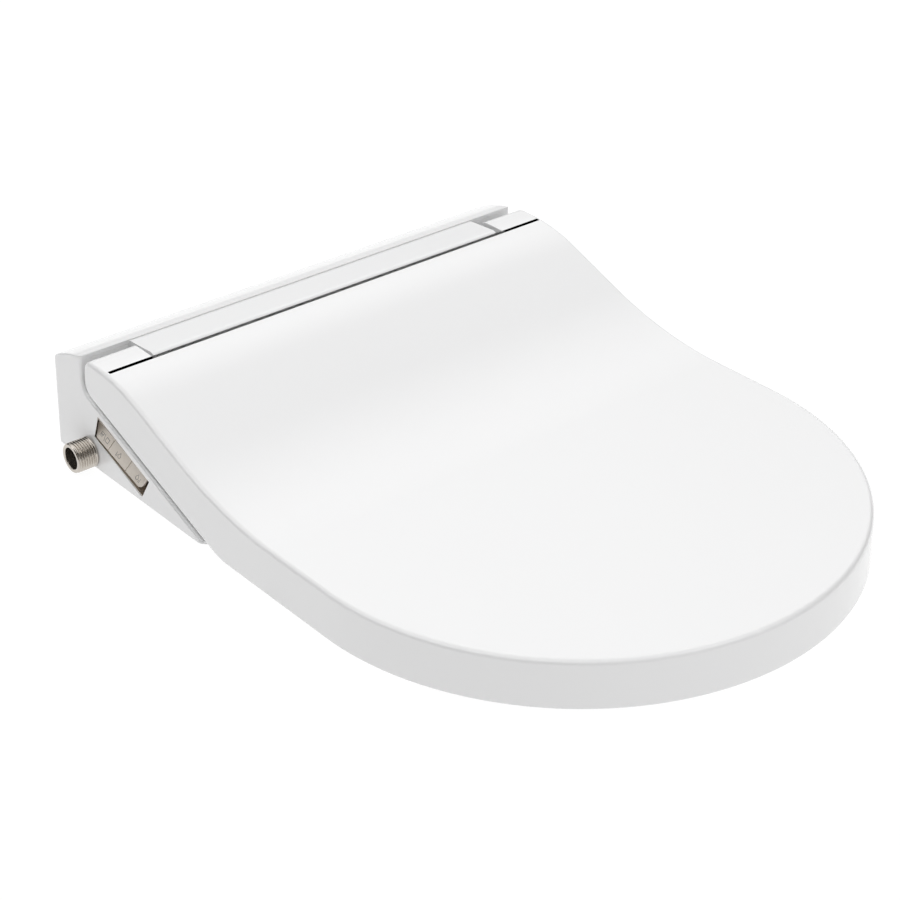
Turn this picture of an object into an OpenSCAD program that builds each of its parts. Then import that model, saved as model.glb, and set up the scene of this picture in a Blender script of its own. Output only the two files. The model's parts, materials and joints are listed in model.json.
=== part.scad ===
// Electric bidet seat: a rear housing that carries the water and electric parts,
// a heated seat ring and a one-piece lid that turn about one axis, and a pan mounting plate.
// +Z is up, -Y points to the front of the pan, and the origin is midway between the two
// pan bolt holes on the pan's top surface.

/* [Housing] */
// Width of the housing at its top edge
housing_w = 370; // [360:1:380]
// Distance from the pan bolts to the rear face
rear_y = 52; // [50:1:54]
// Depth of the rear strip, from the rear face to the ear gap
strip_d = 33; // [32:1:34]
// Height of the strip at its front edge
strip_z = 76.6; // [76:0.2:78]
// Height of the centre cover at its lip
cover_z = 78.4; // [77.6:0.2:78.6]
// Half width of the centre block between the lid's ears
block_x = 146.5; // [145:0.5:147]
// Wall thickness of the housing shell
shell_t = 2.8; // [2.4:0.2:3]

/* [Lid] */
// Half width of the lid's skirt at its lower edge
lid_x = 189.4; // [189:0.1:190]
// Height of the lid's top above the hinge
lid_rear_z = 79.4; // [79:0.1:80]
// Height of the lid's flat front
lid_front_z = 34.6; // [34:0.1:35]
// Wall thickness of the lid
lid_t = 3; // [2.6:0.1:3.2]

/* [Seat] */
// Half width of the seat ring
seat_x = 181.5; // [180:0.5:182]
// Radius of the front of the seat opening
opening_r = 108; // [100:1:112]
// Thickness of the seat shells
seat_t = 2.8; // [2.4:0.2:3]

/* [Hinge] */
// Distance of the hinge axis behind the pan bolts
hinge_y = 1; // [0.5:0.5:1.5]
// Height of the hinge axis
hinge_z = 67.5; // [67:0.5:68]
// Radius of the damper shafts
shaft_r = 4; // [3.5:0.25:4]

/* [Water inlet] */
// Outside radius of the half-inch pipe thread
inlet_r = 10.48; // [10.4:0.01:10.5]
// Radius of the inlet bore
inlet_bore_r = 7.4; // [7:0.1:7.6]
// Length of thread that stands out of the side
inlet_len = 15.3; // [14:0.1:16]

/* [Mounting] */
// Distance between the two pan bolts
bolt_gap = 155; // [150:1:160]
// Width of the bolt slots
slot_w = 8.4; // [8:0.2:9]
// Length of the bolt slots
slot_len = 22; // [18:1:24]

/* [Hidden] */
$fn = 96;

// side draft of the housing and the lid
draft = 1.92;
half_w = housing_w / 2;
draft_z = 65;
function house_x(z) = half_w + (draft_z - z) * tan(draft);
function skirt_x(z, inset = 0) = lid_x - inset - z * tan(draft);

// depth behind the rear face, as a y value
function at(s) = rear_y - s;
function arc(cx, cy, r, a0, a1, n = 8) =
    [for (i = [0:n]) let (a = a0 + (a1 - a0) * i / n) [cx + r * cos(a), cy + r * sin(a)]];

// the deck: the sloping top of the cheeks, which the seat lies over
deck_slope = 0.37;
deck_a = atan(deck_slope);
deck_z0 = 65.5;
function deck_z(s) = deck_z0 - deck_slope * s;
hinge_s = rear_y - hinge_y;

// the bowl opening that the deck's front edge and the seat follow
bowl_y = -185;
bowl_r = 88;
front_y = -247;
opening_y = -255;

// top line of the lid: a level back, a round shoulder, a straight slope and a round foot
lid_a = 21.2;
shoulder_s = 56;
shoulder_r = 128;
foot_r = 281;
lid_drop = lid_rear_z - lid_front_z;
slope_len = (lid_drop - (shoulder_r + foot_r) * (1 - cos(lid_a))) / sin(lid_a);
foot_s = shoulder_s + (shoulder_r + foot_r) * sin(lid_a) + slope_len * cos(lid_a);
nose_s = 492;
// d is how far the line lies under the lid's outer face
function slope_z(s, d = 0) = lid_rear_z - shoulder_r + (shoulder_r - d) * cos(lid_a)
    - (s - shoulder_s - (shoulder_r - d) * sin(lid_a)) * tan(lid_a);
function top_line(d = 0) = concat(
    arc(shoulder_s, lid_rear_z - shoulder_r, shoulder_r - d, 90, 90 - lid_a, 9),
    arc(foot_s, lid_front_z + foot_r, foot_r + d, 270 - lid_a, 270, 14));

// lower line of the lid's skirt: parallel to the deck, then round to the level lower edge
skirt_z = 2.6;
skirt_slope = 0.36;
skirt_a = atan(skirt_slope);
skirt_s0 = 57.6;
skirt_z0 = 50.6;
skirt_r = 55;
skirt_end = skirt_s0 + (skirt_z0 - skirt_z) / skirt_slope;
function skirt_line() = arc(skirt_end + skirt_r * tan(skirt_a / 2), skirt_z + skirt_r,
                            skirt_r, 270, 270 - skirt_a, 6);

// [s, z] outlines are drawn from the left side and run through the whole width
module across(x0, x1) {
    translate([x0, rear_y, 0]) rotate([90, 0, 90])
        linear_extrude(x1 - x0) mirror([1, 0]) children();
}

// a drafted slab between two depths, as wide as the housing or the lid
module drafted(w0, s0, s1, z0 = 0, z1 = 90) {
    translate([0, at(s0), 0]) rotate([90, 0, 0]) linear_extrude(s1 - s0)
        polygon([[-w0 + z0 * tan(draft), z0], [w0 - z0 * tan(draft), z0],
                 [w0 - z1 * tan(draft), z1], [-w0 + z1 * tan(draft), z1]]);
}

module post(x, s, z, r, h) {
    translate([x, at(s), z]) cylinder(r = r, h = h);
}

/* ---- housing ---- */
gap_r = 12;
base_under = 1;
tip_s = 171;
tip_r = 8;
lip_s = 64.3;
lip_r = 6;
lip_corner = 3.5;

// outline of the strip and the cheeks, drawn w under the outer face
module cheek_outline(w = 0) {
    low_z = w > 0 ? -1 : base_under;
    polygon(concat(
        [[w, low_z], [w, 63.5]],
        arc(4, 63.5, 4 - w, 180, 116, 4),
        arc(55.8, -41.4, 121 - w, 115.6, 100.9, 6),
        [[strip_d - w, 76.6 - w]],
        arc(strip_d + gap_r, deck_z(strip_d + gap_r) + gap_r / cos(deck_a), gap_r + w,
            180, 270 - deck_a, 6),
        [[tip_s - w, deck_z(tip_s - w) - w / cos(deck_a)], [tip_s - w, low_z]]));
}

// outline of the centre block: cover, lip and the front that lies under the lid
block_s = 104;
module block_outline(w = 0) {
    polygon(concat(
        [[20, w > 0 ? -1 : base_under], [20, 60], [28, 73 - w], [strip_d, strip_z - w]],
        arc(lip_s - lip_r, cover_z - lip_r, lip_r - w, 90, 0, 6),
        [[lip_s - w, 71 - w], [68, 70 - w], [block_s - w, 61 - w],
         [block_s - w, w > 0 ? -1 : base_under]]));
}

// outline of the hood over the nozzles
hood_x = 40;
hood_rise = 18;
module hood_outline(w = 0) {
    low_z = w > 0 ? -1 : base_under;
    polygon([[90, low_z], [90, deck_z(90) + hood_rise - w],
             [150, deck_z(150) + hood_rise - w], [150, low_z]]);
}

module bowl_cut(grow, z0 = -1, z1 = 90) {
    translate([0, bowl_y, z0]) cylinder(r = bowl_r + grow, h = z1 - z0);
}

// what a corner of radius r loses, seen from above; side is -1 or 1
module corner_cut(side, x, s, r, z0, z1) {
    translate([side * (x - r), at(s - r), z0]) difference() {
        translate([side < 0 ? -r - 3 : 0, -r - 3, 0]) cube([r + 3, r + 3, z1 - z0]);
        translate([0, 0, -1]) cylinder(r = r, h = z1 - z0 + 2);
    }
}

base_z = 3;
module upper_housing() {
    color("white") difference() {
        intersection() {
            union() {
                across(-190, 190) cheek_outline();
                across(-block_x, block_x) block_outline();
                across(-hood_x, hood_x) hood_outline();
            }
            drafted(house_x(0), -1, 200, base_under, 85);
        }
        difference() {
            intersection() {
                union() {
                    across(-190, 190) cheek_outline(shell_t);
                    across(-block_x + shell_t, block_x - shell_t) block_outline(shell_t);
                    across(-hood_x + shell_t, hood_x - shell_t) hood_outline(shell_t);
                }
                drafted(house_x(0) - shell_t, -1, 200, -2, 85);
            }
            bowl_cut(10 + shell_t, -3, 92);
            for (p = screw_places) post(p[0], p[1], base_z, 4, 90);
        }
        bowl_cut(10);
        for (side = [-1, 1]) {
            corner_cut(side, house_x(0), tip_s, tip_r, 0, 6);
            corner_cut(side, block_x, lip_s, lip_corner, 71, 85);
        }
        for (p = screw_places) post(p[0], p[1], -1, 1.5, 12);
        // slot the mounting plate leaves by
        translate([-channel_x, rear_y - 5, -1]) cube([2 * channel_x, 10, channel_z + 1]);
        // mouth of the nozzle hood
        translate([-19, at(150), base_z + 2]) cube([38, 50, 27]);
        // inlet, gland and release button holes
        translate([-200, inlet_y, inlet_z]) rotate([0, 90, 0]) cylinder(r = 9.3, h = 30);
        translate([gland_x, rear_y + 1, gland_z]) rotate([90, 0, 0]) cylinder(r = 6.5, h = 10);
        translate([165, release_y - 9, release_z - 6]) cube([40, 18, 12]);
        // holes for the damper shafts
        for (x = [-block_x - 1, block_x - shell_t - 1])
            translate([x, hinge_y, hinge_z]) rotate([0, 90, 0])
                cylinder(r = shaft_r + 0.6, h = shell_t + 2);
        panel_place() panel_window(-12, 4, 0);
    }
}

// the base plate closes the housing from below and leaves a channel for the mounting plate
plate_x = 100;
channel_x = plate_x + 3;
channel_s = 112;
channel_z = 9.6;
module base_outline() {
    inset = shell_t + 0.3;
    difference() {
        polygon([[-house_x(0) + inset, at(inset)], [house_x(0) - inset, at(inset)],
                 [house_x(0) - inset, at(160)], [-house_x(0) + inset, at(160)]]);
        translate([0, bowl_y]) circle(r = bowl_r + 10 + inset);
    }
}
module base_plate() {
    color("whitesmoke") difference() {
        union() {
            translate([0, 0, base_under]) linear_extrude(base_z - base_under) base_outline();
            translate([-channel_x - 2.4, at(channel_s + 2.4), base_under])
                cube([2 * channel_x + 4.8, channel_s - 0.7, channel_z + 1.4]);
        }
        translate([-channel_x, at(channel_s), -1])
            cube([2 * channel_x, channel_s + 10, channel_z + 1]);
        for (p = screw_places) post(p[0], p[1], -1, 1.5, 6);
    }
}

screw_places = [[-170, 6.4], [170, 6.4], [-112, 6.4], [112, 6.4], [-155, 96], [155, 96],
                [-120, 140], [120, 140]];
module housing_screws() {
    color("silver") for (p = screw_places) {
        post(p[0], p[1], base_under - 0.1, 1.5, 9);
        post(p[0], p[1], base_under - 0.8, 3, 0.8);
    }
}

module base_pads() {
    color("dimgray") for (x = [-160, 160]) for (s = [28, 118])
        translate([x - 12, at(s + 6), 0]) cube([24, 12, base_under]);
}

/* ---- control panel on the left cheek ---- */
panel_s = 45.9;
panel_z = 24.2;
panel_len = 62;
panel_h = 18;
tilt = 29.5;
button_h = 12;
button_t = 2.4;
button_in = 0.8;
button_edges = [0.3, 14.7, 34.9, 53.4];
module panel_place() {
    translate([-house_x(panel_z), at(panel_s), panel_z]) rotate([90, 0, -90])
        rotate([0, 0, -deck_a]) children();
}
// the window in the cheek: u runs down the slope, the right end leans, and the left wall
// runs back under the rim so that the first button fills the view to the rim
window_lean = 1.25;
module window_slice(z, inset) {
    left = inset + window_lean * min(z, 0);
    translate([0, 0, z]) linear_extrude(0.01)
        polygon(concat([[left, panel_h - inset], [left, inset]],
                       arc(panel_len - 5.5, 2.5 + inset, 2.5 - inset / 2, 270, 350, 4),
                       [[panel_len - inset, panel_h - inset]]));
}
module panel_window(z0, z1, inset) {
    hull() {
        window_slice(z0, inset);
        window_slice(min(z1, 0), inset);
    }
    if (z1 > 0) hull() {
        window_slice(-0.01, inset);
        window_slice(z1, inset);
    }
}
button_foot = 1.1;
button_reach = 0.5;
// the face leans back by the tilt; an end button has a round lower corner, and the first
// one reaches back along the window's left wall
module button_block(u0, u1, round_end) {
    top = [button_foot + button_h * cos(tilt), -button_in - button_h * sin(tilt)];
    reach = round_end < 0 ? button_reach * button_h : 0;
    intersection() {
        translate([u0 - reach, 0, 0]) rotate([90, 0, 90]) linear_extrude(u1 - u0 + reach)
            polygon([[button_foot, -button_in], top, top - [0, button_t],
                     [button_foot, -button_in - button_t]]);
        translate([0, button_foot, -20]) linear_extrude(20)
            polygon(concat(
                round_end < 0 ? arc(u0 + 2.2, 2.2, 2.2, 270, 200, 5) : [[u0, 0]],
                [[u0 - reach, button_h], [u1, button_h]],
                round_end > 0 ? arc(u1 - 4, 4, 4, 0, -90, 5) : [[u1, 0]]));
    }
}
module control_bezel() {
    color("tan") panel_place() difference() {
        panel_window(-11.5, -0.1, 0.05);
        panel_window(-10.3, 1, 0.7);
    }
}
module button(i, round_end) {
    gap = 0.2;
    color("tan") panel_place()
        button_block(button_edges[i] + gap, button_edges[i + 1] - gap, round_end);
}
module stop_button() { button(0, -1); }
module rear_wash_button() { button(1, 0); }
module front_wash_button() { button(2, 1); }
module button_board() {
    color("darkgreen") panel_place() translate([2, 2.5, -13.3]) cube([panel_len - 6, 14, 1.6]);
}

/* ---- water path ---- */
inlet_s = 39.9;
inlet_y = at(inlet_s);
inlet_z = 10.8;
inlet_end = -202.1;
module inlet_fitting() {
    color("silver") translate([inlet_end, inlet_y, inlet_z]) rotate([0, 90, 0])
        difference() {
            union() {
                cylinder(r = inlet_r, h = inlet_len - 0.4);
                cylinder(r = 9.2, h = inlet_len + 2.4);
                cylinder(r = 7.4, h = 40);
            }
            translate([0, 0, -1]) cylinder(r = inlet_bore_r, h = 13);
            translate([0, 0, -1]) cylinder(r = 5, h = 42);
        }
}
module inlet_strainer() {
    color("gray") translate([inlet_end + 9, inlet_y, inlet_z]) rotate([0, 90, 0])
        difference() {
            cylinder(r = inlet_bore_r, h = 3);
            for (a = [0:60:300]) rotate([0, 0, a]) translate([4, 0, -1]) cylinder(r = 1.3, h = 5);
            translate([0, 0, -1]) cylinder(r = 1.3, h = 5);
        }
}
valve_x = inlet_end + 40;
module solenoid_valve() {
    color("ivory") difference() {
        union() {
            translate([valve_x, inlet_y, inlet_z]) rotate([0, 90, 0])
                cylinder(r = 7.3, h = 34);
            translate([valve_x + 10, inlet_y - 9, 4]) cube([20, 18, 16]);
            translate([valve_x + 20, inlet_y, 19]) cylinder(r = 11, h = 18);
        }
        translate([valve_x - 1, inlet_y, inlet_z]) rotate([0, 90, 0])
            cylinder(r = 4, h = 20);
    }
}
pipe_r = 4;
// a pipe of straight runs along a list of corners, with an elbow block at each corner
module pipe(points, r = pipe_r) {
    for (i = [0:len(points) - 2]) {
        p = points[i];
        d = points[i + 1] - p;
        l = norm(d);
        translate(p) rotate([0, acos(d[2] / l), atan2(d[1], d[0])]) cylinder(r = r, h = l);
        if (i > 0) translate(p) cube(2.6 * r, center = true);
    }
}
tank_x = -98;
module supply_pipe() {
    color("lightgray") pipe([[valve_x + 34, inlet_y, inlet_z], [valve_x + 48, inlet_y, inlet_z],
                             [valve_x + 48, inlet_y, 24], [valve_x + 48, -2, 24],
                             [tank_x, -2, 24]]);
}
module heater_tank() {
    color("ivory") difference() {
        union() {
            translate([tank_x, -34, 14.5]) cube([62, 62, 40]);
            translate([tank_x + 20, -2, 54.5]) cylinder(r = 5, h = 3);
        }
        translate([tank_x + 2.5, -31.5, 17]) cube([57, 57, 35]);
        translate([tank_x - 1, -2, 24]) rotate([0, 90, 0]) cylinder(r = 3, h = 5);
        translate([tank_x + 58, -20, 22]) rotate([0, 90, 0]) cylinder(r = 3, h = 6);
    }
}
module diverter_valve() {
    color("ivory") {
        translate([44, 4, 14.5]) cube([26, 26, 20]);
        translate([57, 17, 34.5]) cylinder(r = 10, h = 16);
        translate([34, 12, 24]) rotate([0, 90, 0]) cylinder(r = 3, h = 10);
        translate([34, 22, 24]) rotate([0, 90, 0]) cylinder(r = 3, h = 10);
    }
}
module heater_pipe() {
    color("lightgray") pipe([[tank_x + 62, -20, 22], [-28, -20, 22], [-28, 37, 22],
                             [57, 37, 22], [57, 30, 22]], 3);
}

/* ---- nozzles ---- */
wand_a = 22;
wand_r = 6;
wand_len = 114;
wand_gap = 17;
tip_y = at(133);
tip_z = 19.5;
pinion_r = 6;
teeth = 12;
pitch = 2 * 180 * pinion_r / teeth * PI / 180;
travel_back = 60;
axle_x = -50;
axle_z = 8.3 + pinion_r;
// local frame of a wand: +X forward and down along it, +Z square to it
module wand_place(x) {
    translate([x, tip_y, tip_z]) rotate([0, 0, -90]) rotate([0, wand_a, 0]) children();
}
// rack tooth flanks lean 20 degrees; teeth are thinned for backlash
module rack_2d(n) {
    for (i = [0:n - 1]) translate([axle_x + (2.5 - i) * pitch, 0])
        polygon([[-1.2, -1.1], [-0.42, 1.0], [0.42, 1.0], [1.2, -1.1]]);
}
module wand(x) {
    wand_place(x) difference() {
        union() {
            translate([-wand_len, 0, 0]) rotate([0, 90, 0]) cylinder(r = wand_r, h = wand_len - 3);
            translate([-3, 0, 0]) rotate([0, 90, 0]) cylinder(r1 = wand_r, r2 = wand_r - 2, h = 3);
            translate([-wand_len + 4, -1.6, 3]) cube([travel_back + 13, 3.2, 4.3]);
            translate([0, 1.6, 8.3]) rotate([90, 0, 0]) linear_extrude(3.2) rack_2d(22);
        }
        translate([-9, 0, wand_r - 3]) cylinder(r = 1, h = 5);
        translate([-13, 0, wand_r - 3]) cylinder(r = 1, h = 5);
    }
}
module rear_nozzle() { color("white") wand(-wand_gap / 2); }
module front_nozzle() { color("white") wand(wand_gap / 2); }

module pinion(x) {
    color("ivory") wand_place(x) translate([axle_x, 1.5, axle_z]) rotate([90, 0, 0]) difference() {
        union() {
            cylinder(r = pinion_r - 1.35, h = 3);
            for (i = [0:teeth - 1]) rotate([0, 0, i * 360 / teeth])
                linear_extrude(3) polygon([[pinion_r - 1.7, -1.05], [pinion_r + 0.8, -0.3],
                                           [pinion_r + 0.8, 0.3], [pinion_r - 1.7, 1.05]]);
        }
        translate([0, 0, -1]) cylinder(r = 1.55, h = 5);
    }
}
module rear_pinion() { pinion(-wand_gap / 2); }
module front_pinion() { pinion(wand_gap / 2); }

module motor(x, side) {
    color("silver") wand_place(x) translate([axle_x, 0, axle_z]) rotate([90, 0, 0]) {
        translate([0, 0, side > 0 ? -19 : 4]) cylinder(r = 8.5, h = 15);
        translate([0, 0, side > 0 ? -4.5 : -1.5]) cylinder(r = 1.5, h = 6);
    }
}
module rear_motor() { motor(-wand_gap / 2, -1); }
module front_motor() { motor(wand_gap / 2, 1); }

module nozzle_guide() {
    color("ivory") wand_place(0) difference() {
        union() {
            translate([-30, -18, -9]) cube([28, 36, 18.2]);
            translate([-wand_len, -18, -9]) cube([wand_len - 29, 36, 2.4]);
        }
        for (y = [-wand_gap / 2, wand_gap / 2]) {
            translate([-31, y, 0]) rotate([0, 90, 0]) cylinder(r = wand_r + 0.08, h = 40);
            translate([-31, y - 2, 0]) cube([40, 4, 11.6]);
            translate([-wand_len - 1, y, 0]) rotate([0, 90, 0]) cylinder(r = wand_r + 0.4, h = 80);
        }
    }
}

/* ---- electrics ---- */
module control_board() {
    color("darkgreen") {
        translate([78, -44, 14.5]) cube([58, 58, 1.6]);
        for (p = [[84, -36], [104, -20], [120, -36]])
            translate([p[0], p[1], 16.1]) cube([12, 12, 8]);
    }
}
module power_supply() {
    color("black") translate([78, 17, 14.5]) cube([58, 22, 28]);
}
gland_x = 150;
gland_z = 16;
module power_gland() {
    color("gray") translate([gland_x, rear_y, gland_z]) rotate([90, 0, 0]) difference() {
        union() {
            translate([0, 0, -0.4]) cylinder(r = 6.45, h = 9.4);
            translate([0, 0, shell_t + 0.3]) cylinder(r = 8, h = 2);
        }
        translate([0, 0, -1]) cylinder(r = 3.4, h = 14);
    }
}

/* ---- hinge ---- */
damper_in = 96;
module damper(side) {
    color("dimgray") translate([side > 0 ? damper_in : -block_x + shell_t, hinge_y, hinge_z])
        rotate([0, 90, 0]) difference() {
            cylinder(r = 7.2, h = block_x - shell_t - damper_in);
            translate([0, 0, side > 0 ? 6 : -1])
                cylinder(r = shaft_r + 0.06, h = block_x - shell_t - damper_in - 5);
        }
}
module seat_damper() { damper(-1); }
module lid_damper() { damper(1); }
ear_in = 149.5;
arm_in = 154;
arm_out = 182;
module shaft(side) {
    color("silver") translate([side > 0 ? damper_in + 7 : -arm_out - 3.6, hinge_y, hinge_z])
        rotate([0, 90, 0]) cylinder(r = shaft_r, h = arm_out + 3.6 - damper_in - 7);
}
module seat_shaft() { shaft(-1); }
module lid_shaft() { shaft(1); }

/* ---- mounting plate and release ---- */
plate_front_s = 108;
module mounting_plate() {
    color("gainsboro") difference() {
        translate([-plate_x, at(plate_front_s), 0]) cube([2 * plate_x, plate_front_s - 14, 8]);
        for (side = [-1, 1]) translate([side * bolt_gap / 2, 0, 0]) slot(slot_w, slot_len, 20);
        for (side = [-1, 1]) translate([side * bolt_gap / 2, 0, 4]) slot(20, slot_len + 12, 5);
    }
}
module slot(w, l, h) {
    translate([0, 0, h > 10 ? -1 : 0]) linear_extrude(h) union() {
        translate([-(l - w) / 2, -w / 2]) square([l - w, w]);
        for (e = [-1, 1]) translate([e * (l - w) / 2, 0]) circle(d = w);
    }
}
release_y = at(24);
release_z = 16;
release_out = 1.5;
module release_button() {
    color("white") translate([house_x(release_z) - 11, release_y - 8.6, release_z - 5.6])
        cube([10 + release_out, 17.2, 11.2]);
}

/* ---- seat ---- */
seat_under = 4.5;
seat_floor = 5;
split_z = 9;
seat_clear = 2.4;
seat_s = 107;
seat_top_z = lid_front_z - lid_t - seat_clear;
// side outline of the whole seat, w inside its outer face
module seat_outline(w = 0) {
    polygon(concat(
        [[seat_s + w, slope_z(seat_s + w, lid_t + seat_clear + w)],
         [seat_s + w, deck_z(seat_s) + seat_under + w]],
        arc(seat_foot_s() + 40 * tan(deck_a / 2), seat_floor + w + 40, 40, 270 - deck_a, 270, 5),
        [[nose_s, seat_floor + w], [nose_s, seat_top_z - w]],
        [for (i = [24:-1:10]) top_line(lid_t + seat_clear + w)[i]]));
}
function seat_foot_s() = (deck_z0 + seat_under - seat_floor) / deck_slope;
module seat_plan(w = 0) {
    intersection() {
        union() {
            translate([0, front_y]) circle(r = seat_x - w);
            translate([-seat_x + w, front_y]) square([2 * (seat_x - w), 210]);
        }
        translate([-300, -600]) square([600, 800]);
    }
}
module opening_plan(w = 0) {
    lean = asin((opening_r - bowl_r) / (bowl_y - opening_y));
    translate([0, opening_y]) circle(r = opening_r + w);
    translate([0, bowl_y]) circle(r = bowl_r + w);
    polygon([for (k = [[-1, 0], [1, 0], [1, 1], [-1, 1]])
        let (r = (k[1] > 0 ? bowl_r : opening_r) + w, y = k[1] > 0 ? bowl_y : opening_y)
        [k[0] * r * cos(lean), y + r * sin(lean)]]);
}
module seat_form(w = 0) {
    difference() {
        intersection() {
            across(-200, 200) seat_outline(w);
            translate([0, 0, -5]) linear_extrude(90) seat_plan(w);
        }
        translate([0, 0, -6]) linear_extrude(92) opening_plan(w);
        translate([0, 0, -1]) intersection() {
            across(-hood_x - 5 - w, hood_x + 5 + w)
                polygon([[90, 0], [90, deck_z(90) + hood_rise + 4 + w],
                         [170, deck_z(170) + hood_rise + 4 + w], [170, 0]]);
            translate([-60, at(160), 0]) cube([120, 80, 80]);
        }
    }
}
module arm_outline() {
    polygon(concat(arc(hinge_s, hinge_z, 7.4, 90, 250, 12),
        [[60, deck_z(60) + seat_under + 3], [118, deck_z(118) + seat_under],
         [118, 56], [90, 66.5], [72, 70.5], [60, 73.5]]));
}
module seat_arms() {
    difference() {
        for (x0 = [-arm_out + 1, arm_in]) across(x0, x0 + arm_out - arm_in - 1) arm_outline();
        translate([arm_in - 1, hinge_y, hinge_z]) rotate([0, 90, 0])
            cylinder(r = shaft_r + 0.1, h = 40);
        translate([-arm_out - 1, hinge_y, hinge_z]) rotate([0, 90, 0])
            cylinder(r = shaft_r, h = 40);
    }
}
// the seat splits along a plane that follows the deck and then lies level
module split_above() {
    across(-200, 200) polygon([[100, 100], [100, deck_z(100) + 13], [170, deck_z(170) + 10],
                               [190, split_z + 3], [nose_s, split_z + 3], [nose_s, 100]]);
}
module seat_top() {
    color("white") {
        intersection() {
            difference() {
                seat_form();
                seat_form(seat_t);
            }
            split_above();
        }
        seat_arms();
    }
}
module seat_bottom() {
    color("whitesmoke") difference() {
        seat_form();
        seat_form(seat_t);
        split_above();
        for (x0 = [-arm_out, arm_in - 1]) across(x0, x0 + arm_out - arm_in + 1) arm_outline();
    }
}
module seat_heater() {
    color("orange") difference() {
        translate([0, 0, seat_top_z - seat_t - 0.8]) linear_extrude(0.8) difference() {
            union() {
                translate([0, front_y]) circle(r = seat_x - 14);
                translate([-seat_x + 14, front_y]) square([2 * (seat_x - 14), 40]);
            }
            opening_plan(12);
            translate([-200, -199]) square([400, 200]);
        }
    }
}
buffer_places = [[-150, -190], [150, -190], [-95, -372], [95, -372]];
module seat_buffers() {
    color("dimgray") for (p = buffer_places)
        translate([p[0], p[1], 0]) cylinder(r = 8, h = seat_floor);
}

/* ---- lid ---- */
module lid_outline(w = 0) {
    polygon(concat(
        arc(48, 71.4, 8 - w, 90, 180, 5),
        w > 0 ? [[40 + w, hinge_z + 3.2], [30, hinge_z + 3.2], [30, -9],
                 [nose_s, -9], [nose_s, lid_front_z - w]]
              : concat(arc(53, 66.6, 13, 185, 250, 8), [for (i = [6:-1:0]) skirt_line()[i]],
                       [[nose_s, skirt_z], [nose_s, lid_front_z]]),
        [for (i = [24:-1:0]) top_line(w)[i]]));
}
module lid_solid(w = 0) {
    intersection() {
        across(-200, 200) lid_outline(w);
        union() {
            drafted(lid_x - w, 30, rear_y - front_y, -10, 90);
            translate([0, front_y, -10])
                cylinder(r1 = skirt_x(-10, w), r2 = skirt_x(90, w), h = 100);
        }
    }
}
notch_s = 66;
module lid_shell() {
    color("white") difference() {
        lid_solid();
        difference() {
            lid_solid(lid_t);
            // inner walls of the ears
            for (x0 = [-ear_in - lid_t, ear_in])
                across(x0, x0 + lid_t) ear_wall();
            // bosses at the ends of the shafts
            for (x0 = [-200, arm_out + 0.6])
                translate([x0, hinge_y, hinge_z]) rotate([0, 90, 0])
                    cylinder(r = 7.2, h = 200 - arm_out - 0.6);
        }
        translate([-ear_in, at(notch_s), -5]) cube([2 * ear_in, notch_s + 5, 100]);
        translate([-arm_out - 3.8, hinge_y, hinge_z]) rotate([0, 90, 0])
            cylinder(r = shaft_r + 0.1, h = 60);
        translate([100, hinge_y, hinge_z]) rotate([0, 90, 0])
            cylinder(r = shaft_r, h = arm_out - 100 + 3.6);
    }
}
module ear_wall() {
    polygon([[30, 45], [30, 90], [notch_s + 4, 90], [notch_s + 4, 64], [58, 50]]);
}
lid_pads = [[-150, -215], [150, -215], [-90, -385], [90, -385]];
module lid_buffers() {
    color("gainsboro") for (p = lid_pads)
        translate([p[0], p[1], seat_top_z + 0.3]) cylinder(r = 6, h = seat_clear - 0.3);
}

upper_housing();
base_plate();
base_pads();
housing_screws();
control_bezel();
stop_button();
rear_wash_button();
front_wash_button();
button_board();
inlet_fitting();
inlet_strainer();
solenoid_valve();
supply_pipe();
heater_tank();
heater_pipe();
diverter_valve();
nozzle_guide();
rear_nozzle();
front_nozzle();
rear_motor();
front_motor();
rear_pinion();
front_pinion();
control_board();
power_supply();
power_gland();
seat_damper();
lid_damper();
release_button();
mounting_plate();
seat_top();
seat_bottom();
seat_heater();
seat_buffers();
seat_shaft();
lid_shell();
lid_buffers();
lid_shaft();
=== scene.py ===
"""Looks of an electric bidet seat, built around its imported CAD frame.

Lengths in the functions are millimetres; metres are used only where Blender needs them.
Side outlines are lists of (s, z): s is the depth in front of the housing's rear face.
"""

import json
import math

import bmesh
import bpy
from mathutils import Matrix, Vector


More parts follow.
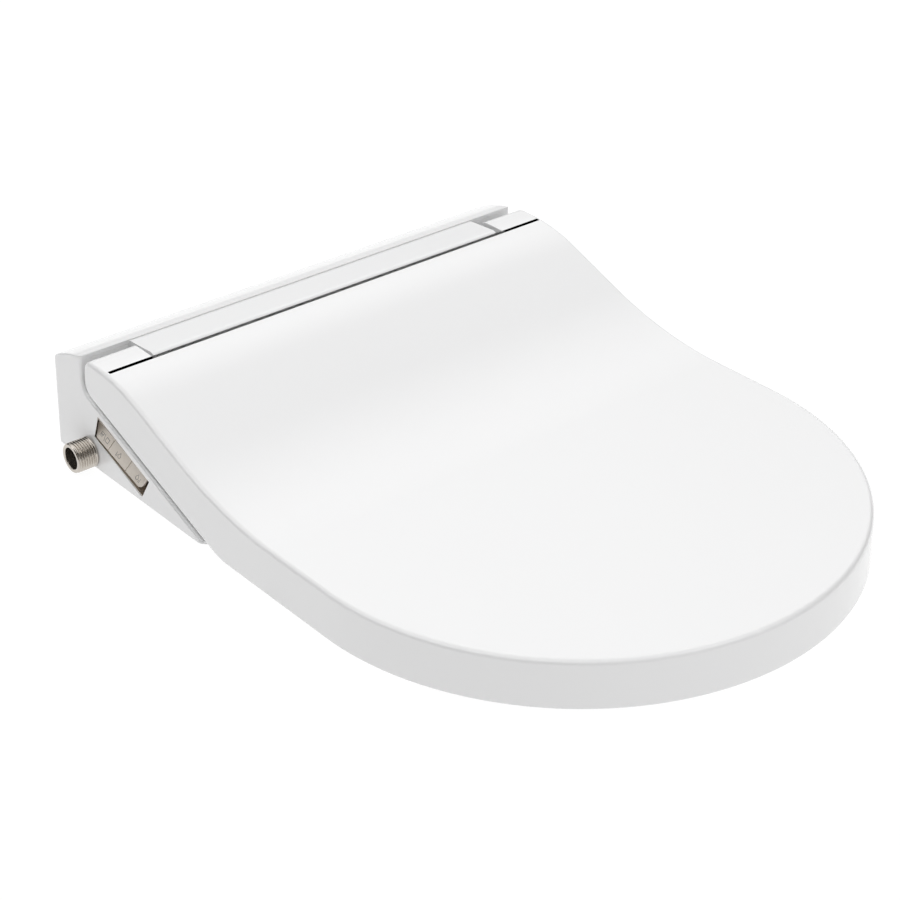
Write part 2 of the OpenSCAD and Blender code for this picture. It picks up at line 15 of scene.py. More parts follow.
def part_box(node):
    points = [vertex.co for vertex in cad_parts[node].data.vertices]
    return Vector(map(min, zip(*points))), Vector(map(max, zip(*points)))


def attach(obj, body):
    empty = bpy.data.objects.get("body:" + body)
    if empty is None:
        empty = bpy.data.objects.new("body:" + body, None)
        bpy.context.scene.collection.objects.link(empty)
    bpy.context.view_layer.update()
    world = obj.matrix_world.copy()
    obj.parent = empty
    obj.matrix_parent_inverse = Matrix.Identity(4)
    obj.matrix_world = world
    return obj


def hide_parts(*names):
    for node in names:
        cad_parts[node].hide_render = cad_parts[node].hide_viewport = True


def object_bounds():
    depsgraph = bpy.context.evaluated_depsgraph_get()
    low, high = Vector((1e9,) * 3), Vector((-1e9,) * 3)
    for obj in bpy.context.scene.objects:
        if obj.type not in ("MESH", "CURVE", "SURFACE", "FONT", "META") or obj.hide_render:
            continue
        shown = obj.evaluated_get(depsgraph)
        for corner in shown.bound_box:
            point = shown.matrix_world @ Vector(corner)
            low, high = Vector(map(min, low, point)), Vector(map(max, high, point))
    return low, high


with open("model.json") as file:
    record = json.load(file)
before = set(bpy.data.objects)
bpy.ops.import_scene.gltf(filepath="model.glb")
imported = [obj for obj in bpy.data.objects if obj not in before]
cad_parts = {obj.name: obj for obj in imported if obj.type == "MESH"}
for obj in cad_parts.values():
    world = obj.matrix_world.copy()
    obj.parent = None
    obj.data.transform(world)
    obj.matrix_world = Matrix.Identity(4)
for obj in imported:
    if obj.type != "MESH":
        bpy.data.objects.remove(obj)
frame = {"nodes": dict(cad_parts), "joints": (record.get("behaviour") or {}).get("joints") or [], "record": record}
cad_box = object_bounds()
MM = 0.001

# ---- driving dimensions, from the frame where it has them ----
BODY_OF = {n: b for b, names in frame["record"]["behaviour"]["bodies"].items() for n in names}
SLOT_OF = {p["node"]: p["material_slot"] for p in frame["record"]["subparts"]}
HINGE = next(j for j in frame["joints"] if j["name"] == "seat_hinge")["pos_m"]
HOUSING_LOW, HOUSING_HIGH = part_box("upper_housing")
LID_LOW, LID_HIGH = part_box("lid_shell")
INLET_LOW, INLET_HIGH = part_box("inlet_fitting")

DRAFT = math.tan(math.radians(1.92))
REAR_Y = HOUSING_HIGH.y / MM
HOUSE_LOW_X = HOUSING_HIGH.x / MM + DRAFT * HOUSING_LOW.z / MM
HINGE_Y, HINGE_Z = HINGE[1] / MM, HINGE[2] / MM
LID_X = LID_HIGH.x / MM + DRAFT * LID_LOW.z / MM
LID_TOP, LID_RIM = LID_HIGH.z / MM, LID_LOW.z / MM
LID_T = 3.0
LID_FRONT_Z = 34.6
FRONT_Y = LID_LOW.y / MM + LID_HIGH.x / MM
EAR_IN = 149.5
NOTCH_S = 67.5
ARM_OUT = 182
DECK_SLOPE, DECK_TOP_Z = 0.37, 65.5
DECK_ANGLE = math.atan(DECK_SLOPE)
# A face whose normal has more Z than this counts as facing up.
UPWARD = 0.3


def house_x(z):
    """Half width of the housing at a height."""
    return HOUSE_LOW_X - z * DRAFT


def deck_z(s):
    """Height of the sloping deck at a depth."""
    return DECK_TOP_Z - DECK_SLOPE * s


def arc(cx, cy, r, a0, a1, n):
    """Points on an arc, in degrees from a0 to a1."""
    turn = [math.radians(a0 + (a1 - a0) * i / n) for i in range(n + 1)]
    return [(cx + r * math.cos(a), cy + r * math.sin(a)) for a in turn]


# ---- camera, light and floor ----
CAMERA_AT = (-0.79018, -1.07752, 0.73212)
CAMERA_TURN = (59.494, 0, -39.921)
CAMERA_LENS = 86.24
FLOOR_HALF, FLOOR_DROP = 12, 0.0005

# Strengths, axes and widths of the studio's soft dome, bright ring and broad fills.
ZENITH, RING = 1.2, 3.0
DOME_AXIS, DOME_FADE, DOME_LOW = (0.08, 0.3, 0.95), (0.5, 0.95), 0.02
RING_AXIS, RING_COS, RING_WIDTH = (0.23, 0.337, 0.913), 0.569, 0.13
RING_SIDE, RING_FADE = (-0.55, -0.6, 0.58), (0, 0.55)
FILLS = (((0.15, -0.87, 0.47), 0.5), ((0.62, 0.7, 0.35), 0.7))
FILL_FADE = (0.65, 0.98)
FLOOR_GLOW = 0.96


def make_camera():
    """The photo's point of view."""
    bpy.context.scene.view_settings.view_transform = "Standard"
    data = bpy.data.cameras.new("camera")
    data.sensor_width, data.lens = 36, CAMERA_LENS
    cam = bpy.data.objects.new("camera", data)
    cam.location = CAMERA_AT
    cam.rotation_euler = [math.radians(a) for a in CAMERA_TURN]
    bpy.context.scene.collection.objects.link(cam)
    bpy.context.scene.camera = cam


def make_world():
    """A studio of light from the world alone: dome, part ring and fills by direction."""
    world = bpy.data.worlds.new("studio")
    bpy.context.scene.world = world
    world.use_nodes = True
    nodes, links = world.node_tree.nodes, world.node_tree.links
    way = nodes.new("ShaderNodeTexCoord")

    def toward(direction):
        """How far a ray points along a direction."""
        dot = nodes.new("ShaderNodeVectorMath")
        dot.operation = "DOT_PRODUCT"
        dot.inputs[1].default_value = direction
        links.new(way.outputs["Generated"], dot.inputs[0])
        return dot.outputs["Value"]

    def step(value, x0, x1, y0, y1):
        """A smooth step from y0 to y1 as the value goes from x0 to x1."""
        ramp = nodes.new("ShaderNodeMapRange")
        ramp.interpolation_type = "SMOOTHSTEP"
        for socket, number in zip(("From Min", "From Max", "To Min", "To Max"), (x0, x1, y0, y1)):
            ramp.inputs[socket].default_value = number
        links.new(value, ramp.inputs["Value"])
        return ramp.outputs["Result"]

    def combined(how, one, other):
        """A math node of two values, each a number or an output."""
        node = nodes.new("ShaderNodeMath")
        node.operation = how
        for socket, value in zip(node.inputs, (one, other)):
            if isinstance(value, float):
                socket.default_value = value
            else:
                links.new(value, socket)
        return node.outputs["Value"]

    off = combined("SUBTRACT", toward(RING_AXIS), RING_COS)
    ring = step(combined("ABSOLUTE", off, 0.0), 0, RING_WIDTH, RING, 0)
    ring = combined("MULTIPLY", ring, step(toward(RING_SIDE), *RING_FADE, 0, 1))
    light = step(toward(DOME_AXIS), *DOME_FADE, DOME_LOW, ZENITH)
    for direction, strength in FILLS:
        light = combined("ADD", light, step(toward(direction), *FILL_FADE, 0, strength))
    links.new(combined("ADD", light, ring), nodes["Background"].inputs["Strength"])
    nodes["Background"].inputs["Color"].default_value = (1, 1, 1, 1)


def make_floor():
    """A wide floor that glows, so it stays as white as the world behind it."""
    r = FLOOR_HALF
    mesh = bpy.data.meshes.new("floor")
    mesh.from_pydata([(-r, -r, 0), (r, -r, 0), (r, r, 0), (-r, r, 0)], [], [(0, 1, 2, 3)])
    floor = bpy.data.objects.new("floor", mesh)
    floor.location.z = cad_box[0].z - FLOOR_DROP
    bpy.context.scene.collection.objects.link(floor)
    paint = plastic("floor_paint", (0.05, 0.05, 0.05), 0.8)
    glow = paint.node_tree.nodes["Principled BSDF"].inputs
    glow["Emission Color"].default_value = (1, 1, 1, 1)
    glow["Emission Strength"].default_value = FLOOR_GLOW
    mesh.materials.append(paint)


# ---- materials ----
def new_material(name):
    """A new material with its nodes, its links and its main shader."""
    mat = bpy.data.materials.new(name)
    mat.use_nodes = True
    nodes = mat.node_tree.nodes
    return mat, nodes, mat.node_tree.links, nodes["Principled BSDF"]


def noise(nodes, links, scale, detail=3.0, stretch=(1, 1, 1)):
    """A noise texture in object coordinates, stretched along the axes."""
    place = nodes.new("ShaderNodeTexCoord")
    warp = nodes.new("ShaderNodeMapping")
    warp.inputs["Scale"].default_value = stretch
    tex = nodes.new("ShaderNodeTexNoise")
    tex.inputs["Scale"].default_value = scale
    tex.inputs["Detail"].default_value = detail
    links.new(place.outputs["Object"], warp.inputs["Vector"])
    links.new(warp.outputs["Vector"], tex.inputs["Vector"])
    return tex.outputs["Fac"]


def spread(nodes, links, fac, low, high):
    """A noise value mapped to the range low to high."""
    ramp = nodes.new("ShaderNodeMapRange")
    ramp.inputs["From Min"].default_value = 0.3
    ramp.inputs["From Max"].default_value = 0.7
    ramp.inputs["To Min"].default_value = low
    ramp.inputs["To Max"].default_value = high
    links.new(fac, ramp.inputs["Value"])
    return ramp.outputs["Result"]


def shade(nodes, links, fac, base, share):
    """A colour that varies a little with a noise value."""
    mix = nodes.new("ShaderNodeMix")
    mix.data_type = "RGBA"
    mix.inputs["A"].default_value = (*[c * (1 - share) for c in base], 1)
    mix.inputs["B"].default_value = (*[min(1, c * (1 + share)) for c in base], 1)
    links.new(fac, mix.inputs["Factor"])
    return mix.outputs["Result"]


def bump(nodes, links, fac, depth, bsdf):
    """A bump of a real depth in millimetres."""
    node = nodes.new("ShaderNodeBump")
    node.inputs["Strength"].default_value = 1
    node.inputs["Distance"].default_value = depth * MM
    links.new(fac, node.inputs["Height"])
    links.new(node.outputs["Normal"], bsdf.inputs["Normal"])


def plastic(name, base, rough, coat=0.0, share=0.01, grain=0.0, grain_scale=900):
    """Moulded plastic: glossy under a coat, or with a fine grain of some mm depth."""
    mat, nodes, links, bsdf = new_material(name)
    cloudy = noise(nodes, links, 14)
    links.new(shade(nodes, links, cloudy, base, share), bsdf.inputs["Base Color"])
    bsdf.inputs["Coat Weight"].default_value = coat
    bsdf.inputs["Coat Roughness"].default_value = 0.06
    if grain:
        fine = noise(nodes, links, 240)
        links.new(spread(nodes, links, fine, rough * 0.92, rough * 1.08),
                  bsdf.inputs["Roughness"])
        bump(nodes, links, noise(nodes, links, grain_scale), grain, bsdf)
    else:
        bsdf.inputs["Roughness"].default_value = rough
    return mat


def metal(name, base, rough, stretch, share=0.06, metallic=1.0, grain=0.002):
    """Metal with streaks along the axes that are stretched least."""
    mat, nodes, links, bsdf = new_material(name)
    streaks = noise(nodes, links, 900, 2, stretch)
    links.new(shade(nodes, links, streaks, base, share), bsdf.inputs["Base Color"])
    links.new(spread(nodes, links, streaks, rough * 0.94, rough * 1.06), bsdf.inputs["Roughness"])
    bsdf.inputs["Metallic"].default_value = metallic
    if grain:
        bump(nodes, links, streaks, grain, bsdf)
    return mat


def board(name, base):
    """Solder mask with faint copper runs under it."""
    mat, nodes, links, bsdf = new_material(name)
    place = nodes.new("ShaderNodeTexCoord")
    brick = nodes.new("ShaderNodeTexBrick")
    brick.inputs["Scale"].default_value = 260
    brick.inputs["Mortar Size"].default_value = 0.035
    brick.inputs["Color1"].default_value = (*base, 1)
    brick.inputs["Color2"].default_value = (*[c * 0.9 for c in base], 1)
    brick.inputs["Mortar"].default_value = (*[c * 1.9 for c in base], 1)
    links.new(place.outputs["Object"], brick.inputs["Vector"])
    links.new(brick.outputs["Color"], bsdf.inputs["Base Color"])
    bsdf.inputs["Roughness"].default_value = 0.35
    return mat


MATERIALS = {
    "housing_white": plastic("housing_white", (0.87, 0.87, 0.872), 0.3, 0.8, 0.006),
    "lid_white": plastic("lid_white", (0.88, 0.88, 0.882), 0.27, 0.9, 0.005),
    "seat_white": plastic("seat_white", (0.87, 0.87, 0.87), 0.28, 0.9, 0.006),
    "champagne_metal": metal("champagne_metal", (0.93, 0.86, 0.775), 0.42, (1, 1, 14),
                             0.012, 0.2, 0),
    "nickel": metal("nickel", (0.56, 0.52, 0.47), 0.22, (9, 1, 1), 0.004, 1, 0),
    "steel": metal("steel", (0.6, 0.6, 0.6), 0.3, (1, 12, 1)),
    "rubber_grey": plastic("rubber_grey", (0.16, 0.16, 0.165), 0.75, 0, 0.08, 0.02),
    "rubber_white": plastic("rubber_white", (0.66, 0.66, 0.66), 0.6, 0, 0.03, 0.01),
    "inner_plastic": plastic("inner_plastic", (0.72, 0.71, 0.66), 0.48, 0, 0.03, 0.004),
    "dark_plastic": plastic("dark_plastic", (0.03, 0.03, 0.032), 0.42, 0, 0.1, 0.01, 500),
    "hose": plastic("hose", (0.45, 0.47, 0.5), 0.4, 0.1, 0.04, 0.005),
    "circuit_board": board("circuit_board", (0.02, 0.13, 0.06)),
    "heating_foil": metal("heating_foil", (0.7, 0.5, 0.3), 0.35, (2, 2, 1), 0.12),
}
TRAY_METAL = metal("tray_metal", (0.5, 0.45, 0.4), 0.26, (14, 1, 1))
MARK_INK = plastic("mark_ink", (0.27, 0.255, 0.24), 0.5, 0, 0.08)


# ---- mesh tools ----
def to_object(name, verts, faces):
    """A closed mesh from points in millimetres."""
    bm = bmesh.new()
    made = [bm.verts.new(Vector(v) * MM) for v in verts]
    for f in faces:
        bm.faces.new([made[i] for i in f])
    bmesh.ops.recalc_face_normals(bm, faces=bm.faces)
    mesh = bpy.data.meshes.new(name)
    bm.to_mesh(mesh)
    bm.free()
    obj = bpy.data.objects.new(name, mesh)
    bpy.context.scene.collection.objects.link(obj)
    return obj


def loft(name, rings, closed=False):
    """Joins rings of equal count; the ends are capped, or the last ring meets the first."""
    n, m = len(rings[0]), len(rings)
    verts = [p for ring in rings for p in ring]
    faces = []
    for k in range(m if closed else m - 1):
        a, b = k * n, (k + 1) % m * n
        faces += [(a + i, a + (i + 1) % n, b + (i + 1) % n, b + i) for i in range(n)]
    if not closed:
        faces += [tuple(range(n)), tuple(range((m - 1) * n, m * n))]
    return to_object(name, verts, faces)


def across(name, outline, x0, x1):
    """A prism along X from a side outline of (s, z)."""
    return loft(name, [[(x, REAR_Y - s, z) for s, z in outline] for x in (x0, x1)])


def apply_modifiers(obj):
    """Replaces an object's mesh by what its modifiers make of it."""
    bpy.context.view_layer.update()
    graph = bpy.context.evaluated_depsgraph_get()
    mesh = bpy.data.meshes.new_from_object(obj.evaluated_get(graph))
    old = obj.data
    obj.modifiers.clear()
    obj.data = mesh
    mesh.name = obj.name
    bpy.data.meshes.remove(old)


def combine(obj, tool, how):
    """A boolean of obj with tool, which is used up."""
    mod = obj.modifiers.new("cut", "BOOLEAN")
    mod.operation, mod.object, mod.solver = how, tool, "EXACT"
    apply_modifiers(obj)
    bpy.data.objects.remove(tool)


def merge_flat(obj, angle=0.4):
    """Merges double points and joins faces that differ by less than an angle in degrees."""
    bm = bmesh.new()
    bm.from_mesh(obj.data)
    bmesh.ops.remove_doubles(bm, verts=bm.verts, dist=2e-6)
    bmesh.ops.dissolve_degenerate(bm, edges=bm.edges, dist=1e-6)
    bmesh.ops.dissolve_limit(bm, angle_limit=math.radians(angle), verts=bm.verts,
                             edges=bm.edges, delimit=set())
    bm.to_mesh(obj.data)
    bm.free()


def round_edges(obj, rule, segments=4, sharp=28):
    """Rounds sharp edges; rule(middle, normal_a, normal_b) gives each edge's radius in mm."""
    bm = bmesh.new()
    bm.from_mesh(obj.data)
    layer = bm.edges.layers.float.get("bevel_weight_edge")
    layer = layer or bm.edges.layers.float.new("bevel_weight_edge")
    radii = {}
    for e in bm.edges:
        e[layer] = 0
        if len(e.link_faces) == 2 and e.calc_face_angle(0) > math.radians(sharp):
            mid = (e.verts[0].co + e.verts[1].co) / 2 / MM
            radii[e] = rule(mid, e.link_faces[0].normal, e.link_faces[1].normal)
    widest = max(radii.values(), default=0)
    if widest <= 0:
        bm.free()
        return
    for e, r in radii.items():
        e[layer] = r / widest
    bm.to_mesh(obj.data)
    bm.free()
    mod = obj.modifiers.new("round", "BEVEL")
    mod.limit_method, mod.offset_type = "WEIGHT", "OFFSET"
    mod.width, mod.segments, mod.profile = widest * MM, segments, 0.5
    mod.use_clamp_overlap = False
    mod.miter_outer = "MITER_ARC"
    apply_modifiers(obj)


def finish_piece(obj, body, slot, nodes, material=None, crease=40):
    """Shading, material (picked by the record slot's name unless one is given), body and hidden replaced nodes of
    a piece.
    """
    obj.data.materials.clear()
    obj.data.materials.append(material or MATERIALS[slot])
    obj.data.shade_smooth()
    obj.data.set_sharp_from_angle(angle=math.radians(crease))
    mod = obj.modifiers.new("even", "WEIGHTED_NORMAL")
    mod.keep_sharp, mod.mode, mod.weight = True, "FACE_AREA", 80
    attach(obj, body)
    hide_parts(*nodes)


def node_copy(name, node):
    """A piece that starts as a copy of a CAD node, its flat faces joined."""
    obj = bpy.data.objects.new(name, frame["nodes"][node].data.copy())
    bpy.context.scene.collection.objects.link(obj)
    merge_flat(obj)
    return obj


def refined(node, rule):
    """A CAD node's shape with its edges rounded."""
    obj = node_copy(node + "_shape", node)
    round_edges(obj, rule, 3)
    finish_piece(obj, BODY_OF[node], SLOT_OF[node], [node])


# ---- lid ----
TOP_ANGLE = 21.2
SHOULDER_S, SHOULDER_R, FOOT_R = 56, 128, 281
# Centres and radii of the outline's rear round and of the ear under it.
REAR_S, REAR_Z, REAR_R = 48, 71.4, 8
EAR_S, EAR_Z, EAR_R = 53, 66.6, 13
# The skirt's sloping edge: a point on it, its slope and its bend to the level rim.
SKIRT_S, SKIRT_Z, SKIRT_SLOPE, SKIRT_R = 57.6, 50.6, 0.36, 55
NOSE_S, BACK_S = 492, 20
WIDE = 200
BOSS_R, PIN_R, PIN_DEPTH = 7.2, 4.1, 3.7


def top_line(d=0):
    """The lid's top line, d under its outer face: level, shoulder, slope, foot, level."""
    turn = math.radians(TOP_ANGLE)
    drop = LID_TOP - LID_FRONT_Z
    slope = (drop - (SHOULDER_R + FOOT_R) * (1 - math.cos(turn))) / math.sin(turn)
    foot_s = SHOULDER_S + (SHOULDER_R + FOOT_R) * math.sin(turn) + slope * math.cos(turn)
    return (arc(SHOULDER_S, LID_TOP - SHOULDER_R, SHOULDER_R - d, 90, 90 - TOP_ANGLE, 16)
            + arc(foot_s, LID_FRONT_Z + FOOT_R, FOOT_R + d, 270 - TOP_ANGLE, 270, 28))


def skirt_line():
    """The skirt's lower edge: parallel to the deck, then round to the level rim."""
    turn = math.atan(SKIRT_SLOPE)
    end = SKIRT_S + (SKIRT_Z - LID_RIM) / SKIRT_SLOPE
    return arc(end + SKIRT_R * math.tan(turn / 2), LID_RIM + SKIRT_R, SKIRT_R,
               270, 270 - math.degrees(turn), 10)


def lid_outline():
    """The lid's whole side outline: rear round, ear, skirt, nose and top."""
    return (arc(REAR_S, REAR_Z, REAR_R, 90, 180, 10) + arc(EAR_S, EAR_Z, EAR_R, 185, 250, 12)
            + skirt_line()[::-1] + [(NOSE_S, LID_RIM), (NOSE_S, LID_FRONT_Z)]
            + top_line()[::-1])


def lid_hollow():
    """The side outline of the space under the lid, open below and at the hinge."""
    floor_z, open_z, open_s = LID_RIM - 12, HINGE_Z + 3.2, 30
    return (arc(REAR_S, REAR_Z, REAR_R - LID_T, 90, 180, 6)
            + [(REAR_S - REAR_R + LID_T, open_z), (open_s, open_z), (open_s, floor_z),
               (NOSE_S, floor_z), (NOSE_S, LID_FRONT_Z - LID_T)] + top_line(LID_T)[::-1])


def d_block(name, inset, steps, z0=-12, z1=90):
    """The lid's plan, a straight back and a round front, drafted, inset by some mm."""
    rings = []
    for z in (z0, z1):
        w = LID_X - inset - z * DRAFT
        front = [(x, FRONT_Y + y, z) for x, y in arc(0, 0, w, 180, 360, steps)]
        rings.append([(w, REAR_Y - BACK_S, z), (-w, REAR_Y - BACK_S, z)] + front)
    return loft(name, rings)


def lid_outer_edge(mid, a, b):
    """Radius of an edge before the lid is hollowed: large on top, small on the skirt."""
    flatter = max((a, b), key=lambda normal: abs(normal.z))
    if mid.z > LID_TOP - 10 or flatter.z > UPWARD:
        return 3.5
    if REAR_Y - mid.y < 50:
        return 1.2 + 2.3 * max(0, min(1, (mid.z - 58) / 12))
    return 1.1


def lid_inner_edge(mid, a, b):
    """Radius of an edge left by the notch, which is largest on its front top edge, or the rim."""
    s = REAR_Y - mid.y
    if s < NOTCH_S + 0.5 and abs(mid.x) < EAR_IN + 0.5:
        return 2.2 if s > NOTCH_S - 0.5 and mid.z > LID_TOP - 2 else 0.8
    return 0.35 if mid.z < LID_RIM + 0.3 else 0


def make_lid():
    """A curved slab cut to the plan, hollowed but for ears and bosses, notched and drilled."""
    lid = across("lid_cover", lid_outline(), -WIDE, WIDE)
    combine(lid, d_block("plan", 0, 128), "INTERSECT")
    merge_flat(lid, 0.2)
    round_edges(lid, lid_outer_edge, 6)

    hollow = across("hollow", lid_hollow(), -WIDE, WIDE)
    combine(hollow, d_block("plan", LID_T, 96), "INTERSECT")
    wall = [(25, 45), (25, 95), (NOTCH_S + 4, 95), (NOTCH_S + 4, 64), (58, 50)]
    boss = arc(REAR_Y - HINGE_Y, HINGE_Z, BOSS_R, 0, 352.5, 47)
    for side in (-1, 1):
        for name, shape, inner, outer in (("wall", wall, EAR_IN, EAR_IN + LID_T),
                                          ("boss", boss, ARM_OUT + 0.6, WIDE)):
            x0, x1 = sorted((side * inner, side * outer))
            combine(hollow, across(name, shape, x0, x1), "DIFFERENCE")
    combine(lid, hollow, "DIFFERENCE")

    notch = [(10, 20), (10, 100), (NOTCH_S, 100), (NOTCH_S, 20)]
    combine(lid, across("notch", notch, -EAR_IN, EAR_IN), "DIFFERENCE")
    pin = arc(REAR_Y - HINGE_Y, HINGE_Z, PIN_R, 0, 350, 35)
    for x0, x1 in ((-ARM_OUT - PIN_DEPTH - 0.1, -EAR_IN + LID_T),
                   (EAR_IN - LID_T, ARM_OUT + PIN_DEPTH)):
        combine(lid, across("pin", pin, x0, x1), "DIFFERENCE")
    merge_flat(lid, 0.2)
    round_edges(lid, lid_inner_edge, 3, 50)
    finish_piece(lid, "lid", "lid_white", ["lid_shell"], crease=35)


# ---- housing ----
STRIP_D, GAP_R, DECK_R, STRIP_R = 33, 12, 2.2, 1.4
# Arcs of the strip's side outline: centre, radius, angles from and to, steps.
HEEL = (4, 63.5, 4, 180, 116, 6)
CROWN = (55.8, -41.4, 121, 115.6, 100.9, 8)
# Where bevels stop: depth, height, distance from the side wall, half width of the cover.
TIP_S, LOW_Z, EDGE_SIDE, COVER_END = 150, 8, 4, 140


def deck_edge():
    """The cheek's outer edge: along the deck, round the gap and up the strip's front."""
    turn = math.degrees(DECK_ANGLE)
    centre_s, centre_z = STRIP_D + GAP_R, deck_z(STRIP_D + GAP_R) + GAP_R / math.cos(DECK_ANGLE)
    bend = [((s, z), ((centre_s - s) / GAP_R, (centre_z - z) / GAP_R))
            for s, z in arc(centre_s, centre_z, GAP_R, 270 - turn, 180, 10)]
    start = [((180, deck_z(180)), (math.sin(DECK_ANGLE), math.cos(DECK_ANGLE)))]
    return start + bend + [((STRIP_D, 82), (1, 0))]


def rear_edge():
    """The strip's outer edge: up the rear and over its crowned top."""
    path = [((0, -2), (-1, 0))]
    for cs, cz, r, a0, a1, n in (HEEL, CROWN):
        path += [((s, z), ((s - cs) / r, (z - cz) / r)) for s, z in arc(cs, cz, r, a0, a1, n)]
    (s, z), (ns, nz) = path[-1]
    return path + [((s + 9 * nz, z - 9 * ns), (ns, nz))]


def edge_tool(side, path, r):
    """What rounding an outer edge of the side wall takes away, swept along it."""
    section = arc(-r + 0.004, -r + 0.004, r, 0, 90, 6) + [(-r, 1.5), (1.5, 1.5), (1.5, -r)]
    rings = []
    for (s, z), (ns, nz) in path:
        rings.append([(side * (house_x(z + nz * q) + p), REAR_Y - s - ns * q, z + nz * q)
                      for p, q in section])
    return loft("edge_tool", rings)


def housing_edge(mid, a, b):
    """Radius of a housing edge; none near the tip, side walls, lower rim and cover's ends."""
    s, x = REAR_Y - mid.y, abs(mid.x)
    in_front = s > STRIP_D + 1
    if s > TIP_S or mid.z < LOW_Z or abs(x - house_x(mid.z)) < EDGE_SIDE:
        return 0
    if x > COVER_END and mid.z > 60 and in_front:
        return 0
    return 0.8 if mid.z > 70 and in_front and max(a.z, b.z) > UPWARD else 0.3


def make_housing():
    """The CAD shape with its long side edges rounded by sweeps and the rest by bevels."""
    shell = node_copy("housing_cover", "upper_housing")
    for side in (-1, 1):
        combine(shell, edge_tool(side, rear_edge(), STRIP_R), "DIFFERENCE")
        combine(shell, edge_tool(side, deck_edge(), DECK_R), "DIFFERENCE")
    round_edges(shell, housing_edge, 4)
    finish_piece(shell, "housing", "housing_white", ["upper_housing"])


# The other nodes' edge radii; the seat bottom's edges stay sharp behind SEAT_REAR_Y.
SEAT_REAR_Y = -140
EDGE_RADII = {
    "seat_top": 0.6, "seat_bottom": 0.6, "base_plate": 0.4, "base_pads": 0.3,
    "mounting_plate": 0.6,
    "release_button": 0.8, "power_gland": 0.5, "heater_tank": 1.2, "solenoid_valve": 0.5,
    "diverter_valve": 0.6, "nozzle_guide": 0.3, "power_supply": 0.6, "control_board": 0.15,
    "button_board": 0.1, "housing_screws": 0.2, "seat_buffers": 0.8, "lid_buffers": 0.5,
    "rear_motor": 0.5, "front_motor": 0.5, "seat_damper": 0.6, "lid_damper": 0.6,
    "seat_shaft": 0.4, "lid_shaft": 0.4, "supply_pipe": 0.3, "heater_pipe": 0.3,
    "inlet_strainer": 0.15, "rear_nozzle": 0.3, "front_nozzle": 0.3, "rear_pinion": 0.1,
    "front_pinion": 0.1, "seat_heater": 0.0,
}


def make_plain_pieces():
    """Every other node keeps its CAD shape, with moulded or machined edges."""
    for node, r in EDGE_RADII.items():
        rear = SEAT_REAR_Y if node == "seat_bottom" else WIDE
        refined(node, lambda mid, a, b: r if mid.y <= rear else 0)


# ---- control panel ----
PANEL_S, PANEL_Z, PANEL_LEN, PANEL_H = 45.9, 24.2, 62, 18
WINDOW_R, TRAY_DEPTH, TRAY_FLOOR = 2.5, 11.4, 10.6
TILT = math.radians(29.5)
FACE_H, FACE_T, FOOT = 12, 1.8, 0.85
DEPTH_LEFT, DEPTH_RIGHT = 0.55, 1.66
WINDOW_LEAN = 1.25
FACE_ENDS = (("stop_button", -0.15, 14.4), ("rear_wash_button", 14.9, 34.65),
             ("front_wash_button", 35.15, 53.2))
PANEL = (Matrix.Translation((-house_x(PANEL_Z), REAR_Y - PANEL_S, PANEL_Z))
         @ Matrix.Rotation(math.radians(-90), 4, "Z") @ Matrix.Rotation(math.radians(90), 4, "X")
         @ Matrix.Rotation(-DECK_ANGLE, 4, "Z"))


def on_panel(u, n, out):
    """A point of the control panel: u down the slope, n up it, out of the side wall."""
    return tuple(PANEL @ Vector((u, n, out)))


def on_face(u, h, lift=0.0):
    """A point of the buttons' common face, which leans back and lies deeper to the right."""
    depth = DEPTH_LEFT + (DEPTH_RIGHT - DEPTH_LEFT) * u / PANEL_LEN
    n = FOOT + h * math.cos(TILT) + lift * math.sin(TILT)
    return on_panel(u, n, -depth - h * math.sin(TILT) + lift * math.cos(TILT))


def window_outline(inset, depth=0.0):
    """The window at a depth; its left wall runs back under the rim."""
    left = inset - WINDOW_LEAN * depth
    return ([(left, PANEL_H - inset), (left, inset)]
            + arc(PANEL_LEN - 5.5, WINDOW_R + inset, WINDOW_R - inset / 2, 270, 350, 6)
            + [(PANEL_LEN - inset, PANEL_H - inset)])


def make_tray():
    """The metal tray round the buttons, open at its outer side."""
    outer, inner, rim = 0.06, 0.45, 0.12
    rings = [[on_panel(u, n, -depth) for u, n in window_outline(inset, depth)]
             for inset, depth in ((outer, TRAY_DEPTH), (outer, rim), (inner, rim),
                                  (inner, TRAY_FLOOR))]
    tray = loft("panel_tray", rings)
    round_edges(tray, lambda mid, a, b: 0.12, 2)
    finish_piece(tray, "housing", "champagne_metal", ["control_bezel"], TRAY_METAL)


def face_outline(u0, u1, kind):
    """The front outline of one button; the outer ends of the row have a round lower corner."""
    if kind == "stop_button":
        low = arc(u0 + 2.2, 2.2, 2.2, 270, 190, 6)
        return low + [(u0 - 0.53 * FACE_H, FACE_H), (u1, FACE_H), (u1, 0)]
    if kind == "front_wash_button":
        low = arc(u1 - 4, 4, 4, 0, -90, 8)
        return [(u0, 0), (u0, FACE_H), (u1, FACE_H)] + low
    return [(u0, 0), (u0, FACE_H), (u1, FACE_H), (u1, 0)]


def make_buttons():
    """The three keys, each a slab behind the common face."""
    for body, u0, u1 in FACE_ENDS:
        line = face_outline(u0, u1, body)
        front = [on_face(u, h) for u, h in line]
        back = [tuple(Vector(p) + Vector((FACE_T, 0, 0))) for p in front]
        key = loft(body + "_cap", [back, front])
        round_edges(key, lambda mid, a, b: 0.22, 3)
        finish_piece(key, body, "champagne_metal", [body])


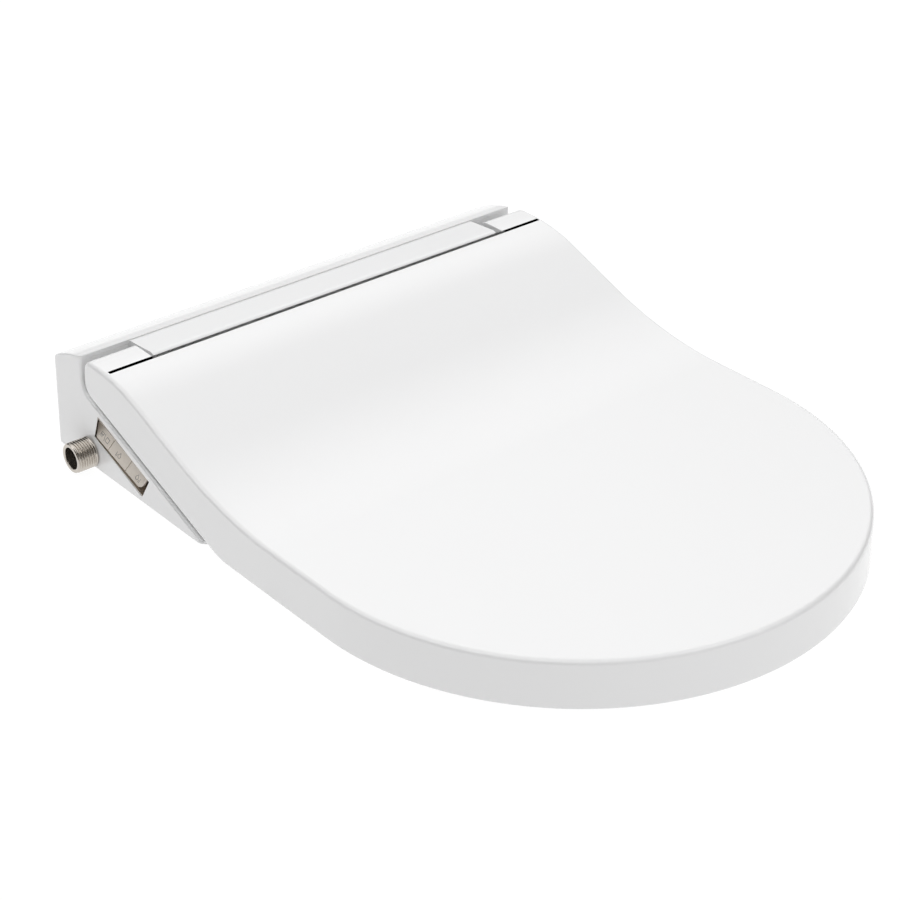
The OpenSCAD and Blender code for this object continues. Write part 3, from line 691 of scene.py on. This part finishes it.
def inked_line(name, body, strokes, width=0.16):
    """Printed line marks on a button: flat ribbons just proud of its face."""
    verts, faces = [], []
    for stroke in strokes:
        for (ua, ha), (ub, hb) in zip(stroke, stroke[1:]):
            run = math.hypot(ub - ua, hb - ha)
            du, dh = -(hb - ha) / run * width, (ub - ua) / run * width
            eu, eh = (ub - ua) / run * width, (hb - ha) / run * width
            flat = [(ua - eu + du, ha - eh + dh), (ua - eu - du, ha - eh - dh),
                    (ub + eu - du, hb + eh - dh), (ub + eu + du, hb + eh + dh)]
            k = len(verts)
            verts += [on_face(u, h, lift) for lift in (-0.05, 0.03) for u, h in flat]
            faces += [(k, k + 1, k + 2, k + 3), (k + 7, k + 6, k + 5, k + 4)]
            faces += [(k + i, k + (i + 1) % 4, k + 4 + (i + 1) % 4, k + 4 + i) for i in range(4)]
    mark = to_object(name, verts, faces)
    mark.data.materials.append(MARK_INK)
    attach(mark, body)


def make_marks():
    """Plain pictograms: spray, slash and square to stop; a drop beside jets to wash."""
    square = [(8.6, 2.9), (8.6, 5.9), (11.6, 5.9), (11.6, 2.9), (8.6, 2.9)]
    jets = [[(2.4 + i * 1.1, 3.1), (3.0 + i * 0.75, 4.6)] for i in range(3)]
    spray = [[(2.6, 4.9), (5.3, 4.9), (5.0, 6.2), (2.9, 6.2), (2.6, 4.9)]] + jets
    inked_line("stop_mark", "stop_button", spray + [[(6.2, 6.6), (7.7, 2.4)], square])
    for body, mid in (("rear_wash_button", 24.8), ("front_wash_button", 45.6)):
        drop = [(mid, 6.1)] + arc(mid, 3.7, 1.25, 20, -200, 12) + [(mid, 6.1)]
        side = -1 if body == "rear_wash_button" else 1
        jet = [[(mid + side * 2.2, 2.0), (mid + side * 2.2, 3.6)],
               [(mid + side * 3.1, 2.0), (mid + side * 3.1, 5.0)]]
        inked_line(body + "_mark", body, [drop] + jet)


# ---- water inlet ----
THREAD_R, THREAD_PITCH, THREAD_DEPTH, THREAD_LEN = 10.48, 1.814, 0.95, 14.9
BORE_R, BORE_LEN, INNER_R, TAIL_R, TAIL_LEN = 7.4, 13, 5, 7.35, 40
COLLAR_R, COLLAR_END, MOUTH = 9.2, 17.7, 0.5
THREAD_STEPS, THREAD_AROUND = 12, 96


def thread_radius(along, turn):
    """Radius of the half-inch thread at a distance from the end and an angle."""
    place = (along / THREAD_PITCH - turn / (2 * math.pi)) % 1
    ridge = 0.5 - 0.5 * math.cos(2 * math.pi * place)
    fade = min(1, max(0, (THREAD_LEN - 0.9 - along) / 1.2)) * min(1, max(0, (along - 0.5) / 0.6))
    crest = THREAD_R - max(0, 0.9 - along) * 0.9
    return crest - THREAD_DEPTH * (1 - ridge) * fade


def make_inlet():
    """The polished fitting: a lathe form closed through its bore, with a real helical thread."""
    centre = (INLET_LOW + INLET_HIGH) / 2 / MM
    step = THREAD_PITCH / THREAD_STEPS
    line = [(step * i, None) for i in range(int(THREAD_LEN / step) + 1)]
    line += [(THREAD_LEN, COLLAR_R), (COLLAR_END, COLLAR_R), (COLLAR_END, TAIL_R),
             (TAIL_LEN, TAIL_R), (TAIL_LEN, INNER_R), (BORE_LEN, INNER_R), (BORE_LEN, BORE_R),
             (MOUTH, BORE_R), (0, BORE_R + MOUTH)]
    rings = []
    for along, r in line:
        ring = []
        for i in range(THREAD_AROUND):
            turn = 2 * math.pi * i / THREAD_AROUND
            q = thread_radius(along, turn) if r is None else r
            ring.append((INLET_LOW.x / MM + along, centre.y + q * math.cos(turn),
                         centre.z + q * math.sin(turn)))
        rings.append(ring)
    fitting = loft("inlet_thread", rings, closed=True)
    finish_piece(fitting, "housing", "nickel", ["inlet_fitting"], crease=50)


make_camera()
make_world()
make_floor()
make_lid()
make_housing()
make_plain_pieces()
make_tray()
make_buttons()
make_marks()
make_inlet()
